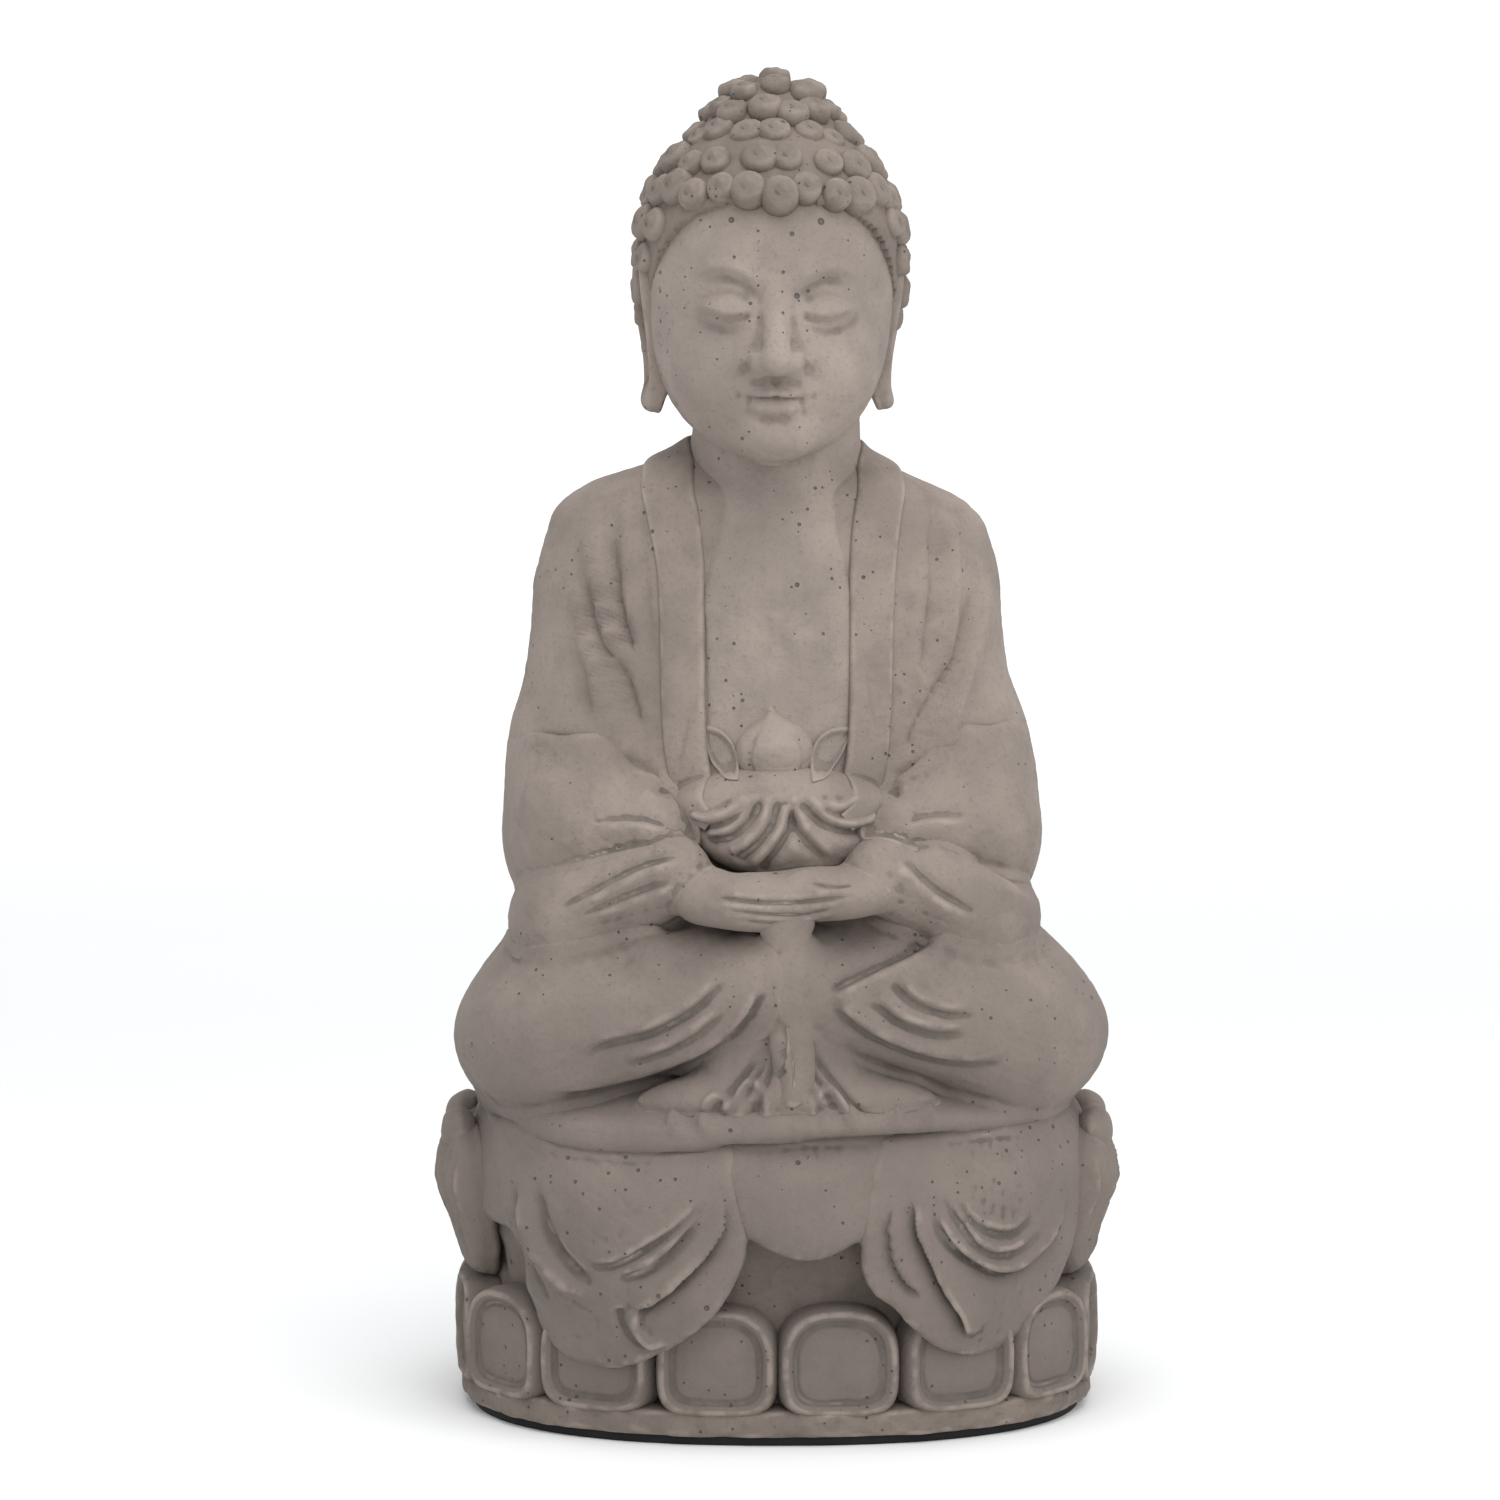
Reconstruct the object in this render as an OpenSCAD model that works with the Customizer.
// Seated figure on a lotus throne: a cast garden statue on a thin pad.
// Written for a statue 400 high; size() scales every node to statue_h.
// +Z is up, the figure faces -Y, and the origin is the middle of the underside.

/* [Overall] */
// Height of the whole statue, pad included
statue_h = 400; // [300:10:600]
// Width across the upper lotus petals, on a statue 400 high
lotus_w = 207; // [200:1:214]
// Depth across the upper lotus petals, on a statue 400 high
lotus_d = 164; // [160:1:172]

/* [Lotus throne] */
// Thickness of the pad under the plinth
pad_t = 2.5; // [1.5:0.5:4]
// Number of petals round the foot
lower_count = 16; // [14:2:18]
// Width of one petal at the foot
lower_petal_w = 34; // [30:1:36]
// Number of places for petals round the seat
upper_count = 14; // [12:2:16]

/* [Head] */
// Diameter of one hair curl
curl_d = 9.5; // [8:0.5:11]
// Turn of the head about its own upright axis, in degrees
head_turn = 3; // [-6:1:6]
// Lean of the head to one side, in degrees
head_lean = -1; // [-3:0.5:3]

/* [Hidden] */

left = -1;   // the viewer's left
right = 1;
around = 30; // points round a body's ring
ball = 14;   // $fn of a large ball inside a hull

// Half sizes of the throne
half_w = lotus_w / 2;
half_d = lotus_d / 2;
plinth_top = 10;
petal_top = 40;
seat_top = 86;

// Middle of the head, about which it turns and leans
head_at = [-1, -3, 325];

concrete = "#8f857b";
concrete_dark = "#7d736a";
concrete_pale = "#a0968a";
pad_black = "#161616";

// ---- helpers -------------------------------------------------------------

module size() scale(statue_h / 400) children();

// Catmull-Rom spline through a list of stations, at parameter u in spans
function spline(s, u) =
    let (k = min(floor(u), len(s) - 2), f = u - k,
         a = s[max(k - 1, 0)], b = s[k], c = s[k + 1], d = s[min(k + 2, len(s) - 1)])
    b + (c - a) * f / 2 + (2 * a - 5 * b + 4 * c - d) * f * f / 2 + (3 * b - 3 * c + d - a) * f * f * f / 2;

function refine(s, per) = [for (j = [0 : (len(s) - 1) * per]) spline(s, j / per)];

// Signed power: keeps the sign of v while raising its size to p
function spow(v, p) = sign(v) * pow(abs(v), p);

// One ring of a rounded oval. A station is
// [z, half width, front depth, back depth, squareness, y of the middle]
function oval(st, n = around) =
    [for (i = [0 : n - 1])
        let (t = 360 * i / n, c = cos(t), q = sin(t), p = 2 / st[4])
        [st[1] * spow(c, p), st[5] + (q < 0 ? st[2] : st[3]) * spow(q, p), st[0]]];

// Closed skin over a stack of rings that all have the same number of points
module skin(rings) {
    m = len(rings);
    n = len(rings[0]);
    polyhedron(
        points = [for (r = rings) each r],
        faces = concat(
            [[for (i = [0 : n - 1]) i]],
            [[for (i = [n - 1 : -1 : 0]) (m - 1) * n + i]],
            [for (j = [0 : m - 2], i = [0 : n - 1]) each
                let (a = j * n + i, b = j * n + (i + 1) % n)
                [[a, a + n, b + n], [a, b + n, b]]]),
        convexity = 6);
}

module body(stations, per = 2, n = around) skin([for (st = refine(stations, per)) oval(st, n)]);

// Egg with three half sizes
module egg(at, half, f = ball) translate(at) scale(half) sphere(1, $fn = f);

// Cord of balls joined by hulls along a spline, for folds, stems and fingers
module cord(points, r, per = 2, f = 6) {
    p = refine(points, per);
    for (j = [0 : len(p) - 2]) hull() {
        translate(p[j]) sphere(r, $fn = f);
        translate(p[j + 1]) sphere(r, $fn = f);
    }
}

function mirrored(points, side) = [for (p = points) [side * p[0], p[1], p[2]]];

module posed_head() translate(head_at) rotate([0, -head_lean, head_turn]) translate(-head_at) children();

// ---- throne ---------------------------------------------------------------

module pad_shape() body([[0, half_w * 0.885, half_d * 0.905, half_d * 0.895, 2.4, 0],
                         [pad_t, half_w * 0.885, half_d * 0.905, half_d * 0.895, 2.4, 0]], 1);

module base_pad() color(pad_black) pad_shape();

module plinth() color(concrete_dark)
    body([[pad_t, half_w * 0.900, half_d * 0.92, half_d * 0.91, 2.4, 0],
          [pad_t + 1.5, half_w * 0.915, half_d * 0.935, half_d * 0.925, 2.4, 0],
          [plinth_top - 1.5, half_w * 0.915, half_d * 0.935, half_d * 0.925, 2.4, 0],
          [plinth_top, half_w * 0.895, half_d * 0.915, half_d * 0.905, 2.4, 0]], 1);

module core_shape()
    body([[plinth_top, half_w * 0.82, half_d * 0.83, half_d * 0.82, 2.3, 0],
          [petal_top, half_w * 0.83, half_d * 0.82, half_d * 0.81, 2.3, 0],
          [58, half_w * 0.86, half_d * 0.84, half_d * 0.84, 2.3, 0],
          [seat_top, half_w * 0.90, half_d * 0.88, half_d * 0.88, 2.3, 0]], 1);

module lotus_core() color(concrete_dark) core_shape();

// A point at angle t from the front on the throne's oval, drawn in by a margin, and the way out from it
rim_power = 2.3;
function rim(t, inset) =
    [(half_w - inset) * spow(sin(t), 2 / rim_power), -(half_d - inset) * spow(cos(t), 2 / rim_power), 0];
function outward(t, inset) =
    let (a = rim(t - 2, inset), b = rim(t + 2, inset)) atan2(b[1] - a[1], b[0] - a[0]);

module on_rim(t, inset) translate(rim(t, inset)) rotate(outward(t, inset)) children();

// Shield petal standing on the plinth: a domed slab, rounded at the top
module shield(w) hull() {
    for (x = [-1, 1]) {
        egg([x * (w / 2 - 5), 0, plinth_top + 4], [5, 6, 5], 6);
        egg([x * (w / 2 - 6), 0, petal_top - 7], [6, 6, 8], 6);
    }
    egg([0, -3, (plinth_top + petal_top) / 2], [w / 3, 5, 11], 6);
}

module lower_petals() color(concrete) difference() {
    for (k = [0 : lower_count - 1]) on_rim(360 * (k + 0.5) / lower_count, 15.5) shield(lower_petal_w);
    core_shape();
    swag_shape(left);
    swag_shape(right);
    translate([0, 0, plinth_top - 20]) cube([400, 400, 40], center = true);
}

// Upper petal: a deep lobe that swells out, with its tip curled over at the top
module lobe() {
    hull() {
        egg([0, 2, 45], [9, 6, 6], 6);
        egg([0, 0, 62], [18, 9, 15], 6);
        egg([0, 0, 76], [15, 8, 10], 6);
    }
    egg([0, -2, 84], [9, 7, 6], 6);
}

module upper_petals() color(concrete) difference() {
    for (k = [1 : upper_count - 1])
        if (abs(k / upper_count - 0.5) < 0.34) on_rim(360 * k / upper_count, 9) lobe();
    core_shape();
    cloth_shape();
    swag_shape(left);
    swag_shape(right);
}

// Cloth over the front of the seat, from the hem down to the top of the folds
module cloth_shape() intersection() {
    body([[58, half_w * 0.88, half_d * 0.90, half_d * 0.80, 2.5, 0],
          [72, half_w * 0.915, half_d * 0.93, half_d * 0.82, 2.5, 0],
          [81, half_w * 0.91, half_d * 0.915, half_d * 0.82, 2.5, 0],
          [88, half_w * 0.88, half_d * 0.88, half_d * 0.80, 2.5, 0]], 1);
    translate([-200, -200, 0]) cube([400, 190, 200]);
}

module seat_cloth() color(concrete) difference() {
    cloth_shape();
    core_shape();
    swag_shape(left);
    swag_shape(right);
    flap_shape();
}

// Flap of cloth that hangs down the middle between the swags
module flap_shape() hull() {
    egg([10, -58, 79], [25, 21, 7]);
    egg([11, -60, 66], [21, 20, 10]);
}

module centre_flap() color(concrete) difference() {
    flap_shape();
    core_shape();
    swag_shape(left);
    swag_shape(right);
}

// Swag of hanging cloth: a wide pouch, deepest low down, with folds laid over it. The left one is the wider
function swag_x(side) = side == left ? -47 : 61;

module swag_shape(side) {
    w = side == left ? 36 : 30;
    translate([swag_x(side), 0, 0]) {
        hull() {
            egg([side * 2, -50, 77], [w, 29, 8]);
            egg([side * 1, -48, 56], [w - 3, 30, 12]);
            egg([0, -52, 36], [w - 12, 26, 9]);
            egg([side * 2, -54, 28], [w - 20, 23, 7]);
        }
        for (k = [0 : 1])
            cord([[side * (w - 8), -62, 74 - 2 * k], [side * (w - 16), -72.6, 56 - 6 * k],
                  [-side * 4, -78.4, 47 - 7 * k], [-side * (w - 10), -75, 60 - 8 * k]], 3, 1);
        for (k = [0 : 1])
            cord([[-side * (w - 7 + 1.5 * k), -74, 76], [-side * (w - 5 + k), -76, 58 - 2 * k],
                  [-side * (w - 13 + k), -76, 42 - 4 * k]], 3.2, 1);
    }
}

module swag(side) color(concrete) difference() {
    swag_shape(side);
    core_shape();
}

module left_swag() swag(left);
module right_swag() swag(right);

// ---- lap -------------------------------------------------------------------

// One folded leg under cloth, from knee to ankle, with the thigh above it
module leg_shape(side) {
    hull() {
        egg([side * 77, -20, 110], [22, 30, 18]);
        egg([side * 52, -42, 110], [30, 27, 17]);
        egg([side * 16, -52, 124], [14, 18, 14]);
        egg([side * 45, -22, 133], [28, 26, 14]);
    }
    for (k = [0 : 2])
        cord(mirrored([[8, -66, 137 - 6 * k], [20, -69.5, 120 - 7 * k], [46, -68, 109 - 6 * k],
                       [68, -58, 105 - 5 * k]], side), 2.4, 1);
}

module leg(side) color(concrete) difference() {
    leg_shape(side);
    robe_core();
    hem_shape();
    translate([side * -50, 0, 100]) cube([100, 200, 200], center = true);
    translate([0, 0, seat_top / 2]) cube([400, 400, seat_top], center = true);
}

module left_leg() leg(left);
module right_leg() leg(right);

// Wavy edge of the robe that lies on the seat round the legs
module hem_shape()
    skin([for (row = [[seat_top, 0.83, 0.83], [seat_top + 4, 0.845, 0.85], [seat_top + 8, 0.80, 0.79]])
        [for (i = [0 : around - 1])
            let (t = 360 * i / around, q = 1.2 * sin(6 * t))
            [(half_w * row[1] + q) * spow(sin(t), 0.85),
             -(half_d * row[2] + q / 2) * spow(cos(t), 0.85), row[0]]]]);

module hem() color(concrete) difference() {
    hem_shape();
    tongue_shape();
    robe_core();
}

// Fan of pleats that spills over the hem between the ankles
module tongue_shape()
    for (k = [-3.5 : 1 : 3.5])
        hull() {
            egg([3 + k * 1.5, -54, 120], [3, 12, 5], 6);
            egg([4 + k * 8, -63 + abs(k), 91], [5, 7, 5], 6);
        }

module hem_tongue() color(concrete) difference() {
    tongue_shape();
    leg_shape(left);
    leg_shape(right);
    translate([0, 0, seat_top / 2]) cube([400, 400, seat_top], center = true);
}

// End of the sash that hangs from under the hands
module sash_shape() for (x = [0, 3])
    cord([[3 + x, -64, 146], [4 + x, -69, 130], [5 + x, -70.5, 116], [5 + x, -69, 98 + 3 * x]],
         4 - x / 4, 1, 8);

module sash_end() color(concrete) difference() {
    sash_shape();
    tongue_shape();
    leg_shape(left);
    leg_shape(right);
    hand_shape(left);
    hand_shape(right);
}

// ---- robe and arms ----------------------------------------------------------

robe_stations = [
    [86, 83, 36, 64, 2.4, 2], [105, 84, 36, 62, 2.4, 2], [125, 83, 38, 58, 2.3, 3],
    [150, 77, 40, 53, 2.3, 5], [180, 74, 36, 48, 2.3, 5], [210, 73, 33, 45, 2.3, 5],
    [240, 70.5, 30, 42, 2.4, 4], [256, 68, 27, 39, 2.3, 4],
    [266, 62, 25, 36, 2.2, 4], [273, 52, 23, 32, 2.1, 4], [279, 38, 20, 28, 2, 4], [284, 29, 14, 25, 2, 4]];

module robe_core() body(robe_stations, 1);

module robe_shape() {
    robe_core();
    for (side = [left, right], k = [0 : 1])
        cord(mirrored([[53 + 8 * k, -17 + 3 * k, 250 - 10 * k], [46 + 5 * k, -22.5 + 1.7 * k, 218 - 6 * k],
                       [40 + 2 * k, -26, 192]], side), 2.6, 1);
}

module robe() color(concrete) difference() {
    robe_shape();
    chest_shape();
    lapel_cut();
    posed_head() head_shape();
}

// Forearm under its sleeve: full at the elbow and narrow at the wrist
module sleeve_shape(side) {
    hull() {
        egg([side * 65, -2, 182], [18, 29, 26], 12);
        egg([side * 58, -12, 166], [20, 28, 14], 12);
        egg([side * 30, -44, 176], [7, 11, 10], 12);
    }
    for (k = [0 : 1])
        cord(mirrored([[30, -53, 182 - 7 * k], [48, -46, 176 - 9 * k], [68, -30, 172 - 10 * k]], side),
             2.4, 1);
}

module sleeve(side) color(concrete) difference() {
    sleeve_shape(side);
    robe_shape();
    cuff_shape(side);
    leg_shape(side);
    lapel_shape(side);
}

module left_sleeve() sleeve(left);
module right_sleeve() sleeve(right);

// Mouth of the sleeve, spread over the lap from the wrist to the hip
module cuff_shape(side) {
    hull() {
        egg([side * 30, -52, 164], [6, 8, 8]);
        egg([side * 54, -42, 152], [12, 16, 9]);
        egg([side * 72, -22, 143], [14, 26, 14]);
    }
    for (k = [0 : 2 : 6])
        cord(mirrored([[26 + k, -58 + k, 169 - 2 * k], [42 + 2 * k, -56 + 2 * k, 160 - 3 * k],
                       [60 + 3 * k, -46 + 3 * k, 154 - 4 * k]], side), 2.6, 1);
}

module cuff(side) color(concrete) difference() {
    cuff_shape(side);
    robe_shape();
    leg_shape(side);
    hand_shape(side);
}

module left_cuff() cuff(left);
module right_cuff() cuff(right);

// Hand laid palm up, with four fingers; the right one rests in the left one
function hand_z(side) = side == left ? 153 : 158;

module hand_shape(side) {
    z = hand_z(side);
    hull() {
        egg([side * 26, -52, z + 3], [10, 12, 8]);
        egg([side * 6, -57, z - 1], [13, 12, 6.5]);
    }
    for (k = [0 : 3])
        cord([[side * 14, -57 - 2.6 * k, z + 4 - 2.4 * k], [side * 2, -61 - 1.6 * k, z + 2 - 2.4 * k],
              [side * -8, -60 - 1.2 * k, z + 3 - 2 * k]], 3, 1);
}

module hand(side) color(concrete) difference() {
    hand_shape(side);
    leg_shape(left);
    leg_shape(right);
    robe_shape();
    if (side == left) hand_shape(right);
}

module left_hand() hand(left);
module right_hand() hand(right);

// ---- chest and collar --------------------------------------------------------

// Bare chest with the neck that rises from it
module chest_shape()
    body([[160, 29, 40, 8, 2.2, 2], [200, 31, 37, 8, 2.2, 2], [245, 31, 32, 8, 2.2, 2],
          [262, 29, 28, 8, 2.1, 2], [274, 25, 24, 12, 2, 1], [284, 21, 21, 18, 2, 0], [305, 20, 19, 19, 2, 0]], 1);

module chest() color(concrete_pale) difference() {
    chest_shape();
    lapel_cut();
    posed_head() head_shape();
}

// Collar band from the nape, over the shoulder and down the chest to the hands
lapel_line = [[0, 27.5, 282], [18, 22, 283], [29, 6, 285], [31, -12, 278], [30.5, -24, 266],
              [31, -31, 248], [31.5, -35, 220], [30, -39, 195], [22, -45, 179], [8, -49, 172]];

module lapel_shape(side) {
    p = mirrored(lapel_line, side);
    for (j = [0 : len(p) - 2]) hull() {
        egg(p[j], [7, 4, 4], 8);
        egg(p[j + 1], [7, 4, 4], 8);
    }
}

module lapel_cut() {
    lapel_shape(left);
    lapel_shape(right);
}

module lapel(side) color(concrete) difference() {
    lapel_shape(side);
    posed_head() head_shape();
    if (side == right) lapel_shape(left);
}

module left_lapel() lapel(left);
module right_lapel() lapel(right);

// ---- lotus flower -------------------------------------------------------------

flower = [0, -42, 190];

module bud_shape() hull() {
    egg(flower + [0, -2, 8], [11, 6, 9], 12);
    egg(flower + [0, -1, 18], [2.2, 2.5, 3], 10);
}

module lotus_bud() color(concrete_pale) difference() {
    bud_shape();
    chest_shape();
    lapel_cut();
}

module leaf_shape(side) for (k = [0 : 2])
    hull() {
        egg(flower + [side * 4, -1, 0], [4, 4, 3], 6);
        egg(flower + [side * (12 + 5 * k), 1.5, 14 - 3.6 * k], [3, 3, 3], 6);
    }

module lotus_leaves() color(concrete_pale) difference() {
    union() {
        leaf_shape(left);
        leaf_shape(right);
    }
    bud_shape();
    chest_shape();
    lapel_cut();
}

// Fan of folds and stems between the flower and the hands
module stems_shape() {
    hull() {
        egg(flower + [0, -1, -3], [10, 5, 4], 10);
        egg(flower + [0, -4, -19], [20, 9, 5], 10);
    }
    for (k = [-3 : 2 : 3])
        cord([flower + [k * 2, -4, -2], flower + [k * 4.5, -9, -10], flower + [k * 7, -10, -19]], 2.4, 1);
}

module lotus_stems() color(concrete) difference() {
    stems_shape();
    bud_shape();
    leaf_shape(left);
    leaf_shape(right);
    chest_shape();
    lapel_cut();
    hand_shape(left);
    hand_shape(right);
}

// ---- head ------------------------------------------------------------------------

// Skull and face as one smooth egg with a jaw; the nose, lips, lids and brows are small added forms
module head_shape() {
    body([[283, 9, 20, 6, 2, -13], [286, 17, 26, 12, 2, -10], [292, 25, 31, 20, 2.1, -7],
          [304, 31.5, 35.5, 29, 2.2, -5], [332, 36, 37, 36, 2.2, -3], [350, 36, 36, 37, 2.1, -2],
          [364, 32, 32, 34, 2, -1], [375, 23, 23, 26, 2, 0], [381, 12, 12, 14, 2, 1]], 1);
    hull() {
        egg([0, -39.5, 331], [2.4, 3, 3], 8);
        egg([0, -45, 312], [4, 4, 3], 8);
        egg([0, -40, 310], [7, 3.4, 2.6], 8);
    }
    for (x = [-1, 1]) {
        hull() {
            egg([0, -41, 301], [3, 2.6, 1.8], 8);
            egg([x * 8, -39, 301.4], [2, 2, 1.2], 8);
        }
        hull() {
            egg([x * 10, -37.5, 328.5], [4, 2.6, 2.2], 8);
            egg([x * 17, -34.5, 328.5], [4, 2.6, 2.2], 8);
        }
        cord([[x * 5, -39.5, 334], [x * 14, -38, 337.5], [x * 24, -32, 334]], 1.2, 1);
    }
}

module head() color(concrete_pale) posed_head() head_shape();

// Ear with a long lobe: a rim of balls round a shallow cup
ear_points = [[35, -4, 331], [38.5, -7, 338], [40.5, -1, 341], [41, 5, 336], [40, 5, 322],
              [38.5, 1, 308], [38.5, -4, 299], [36, -8, 299], [35, -7, 312]];

function ear_line(side) = mirrored(ear_points, side);

module ear(side) color(concrete) posed_head() difference() {
    union() {
        cord(ear_line(side), 2.6, 1);
        hull() for (p = ear_line(side)) translate([p[0] * 0.96, p[1], p[2]]) sphere(1.4, $fn = 8);
    }
    head_shape();
    hair_shape();
}

module left_ear() ear(left);
module right_ear() ear(right);

// Cap of hair over the skull, behind the hairline
module hair_shape() difference() {
    body([[305, 30, 12, 35, 2.1, -1], [318, 35, 20, 38.5, 2.1, -1], [335, 37.8, 28, 40.5, 2.1, -1],
          [352, 37.8, 34, 41, 2.1, -1], [364, 34, 34, 37.5, 2, 0], [374, 27, 27, 31, 2, 1],
          [384, 13, 13, 15, 2, 2]], 1);
    hull() {
        egg([0, -60, 318], [44, 50, 38]);
        egg([0, -60, 280], [60, 62, 30]);
    }
}

module hair_cap() color(concrete_dark) posed_head() difference() {
    hair_shape();
    head_shape();
    topknot_shape();
}

module topknot_shape() hull() {
    egg([0, 3, 378], [24, 24, 8]);
    egg([0, 4, 387], [16, 16, 8]);
}

module topknot() color(concrete_dark) posed_head() difference() {
    topknot_shape();
    head_shape();
}

// Rows of curls: [height, ring's half width, half depth, first angle, last angle, count], angles from the front
curl_rows = [[361, 35, 35, -62, 62, 9], [352, 38, 38, 72, 288, 13], [342, 39.5, 39, 80, 280, 11],
             [332, 39.5, 40, 100, 260, 8], [321, 38, 38.5, 108, 252, 7], [368, 31, 31, 0, 330, 12]];

// Curl that faces along its own Z: a low drum with a domed top
module curl() hull() {
    translate([0, 0, -3]) cylinder(d = curl_d * 1.1, h = 3.6, $fn = 6);
    cylinder(d = curl_d * 0.6, h = 2.6, $fn = 6);
}

// A row of curls, each standing half out of the hair under it
module ring_of_curls(row, y0) for (k = [0 : row[5] - 1]) {
    t = row[3] + (row[4] - row[3]) * k / (row[5] - 1);
    translate([(row[1] + 0.8) * sin(t), y0 - (row[2] + 0.8) * cos(t), row[0]]) rotate([0, 90, t - 90]) curl();
}

module hair_curls() color(concrete_dark) posed_head() difference() {
    for (row = curl_rows) ring_of_curls(row, 1);
    hair_shape();
    head_shape();
    topknot_shape();
    for (side = [left, right]) hull() for (p = ear_line(side)) translate(p) sphere(2.6, $fn = 8);
}

knot_rows = [[380, 24, 24, 0, 324, 10], [388, 18, 18, 15, 330, 8], [394.8, 9, 9, 0, 270, 4]];

module topknot_curls() color(concrete_dark) posed_head() difference() {
    for (row = knot_rows) ring_of_curls(row, 3.5);
    topknot_shape();
    hair_shape();
}

// ---- nodes ---------------------------------------------------------------------

size() base_pad();
size() plinth();
size() lotus_core();
size() lower_petals();
size() upper_petals();
size() seat_cloth();
size() centre_flap();
size() left_swag();
size() right_swag();
size() hem();
size() hem_tongue();
size() left_leg();
size() right_leg();
size() sash_end();
size() robe();
size() left_sleeve();
size() right_sleeve();
size() left_cuff();
size() right_cuff();
size() left_hand();
size() right_hand();
size() left_lapel();
size() right_lapel();
size() chest();
size() lotus_bud();
size() lotus_leaves();
size() lotus_stems();
size() head();
size() left_ear();
size() right_ear();
size() hair_cap();
size() hair_curls();
size() topknot();
size() topknot_curls();
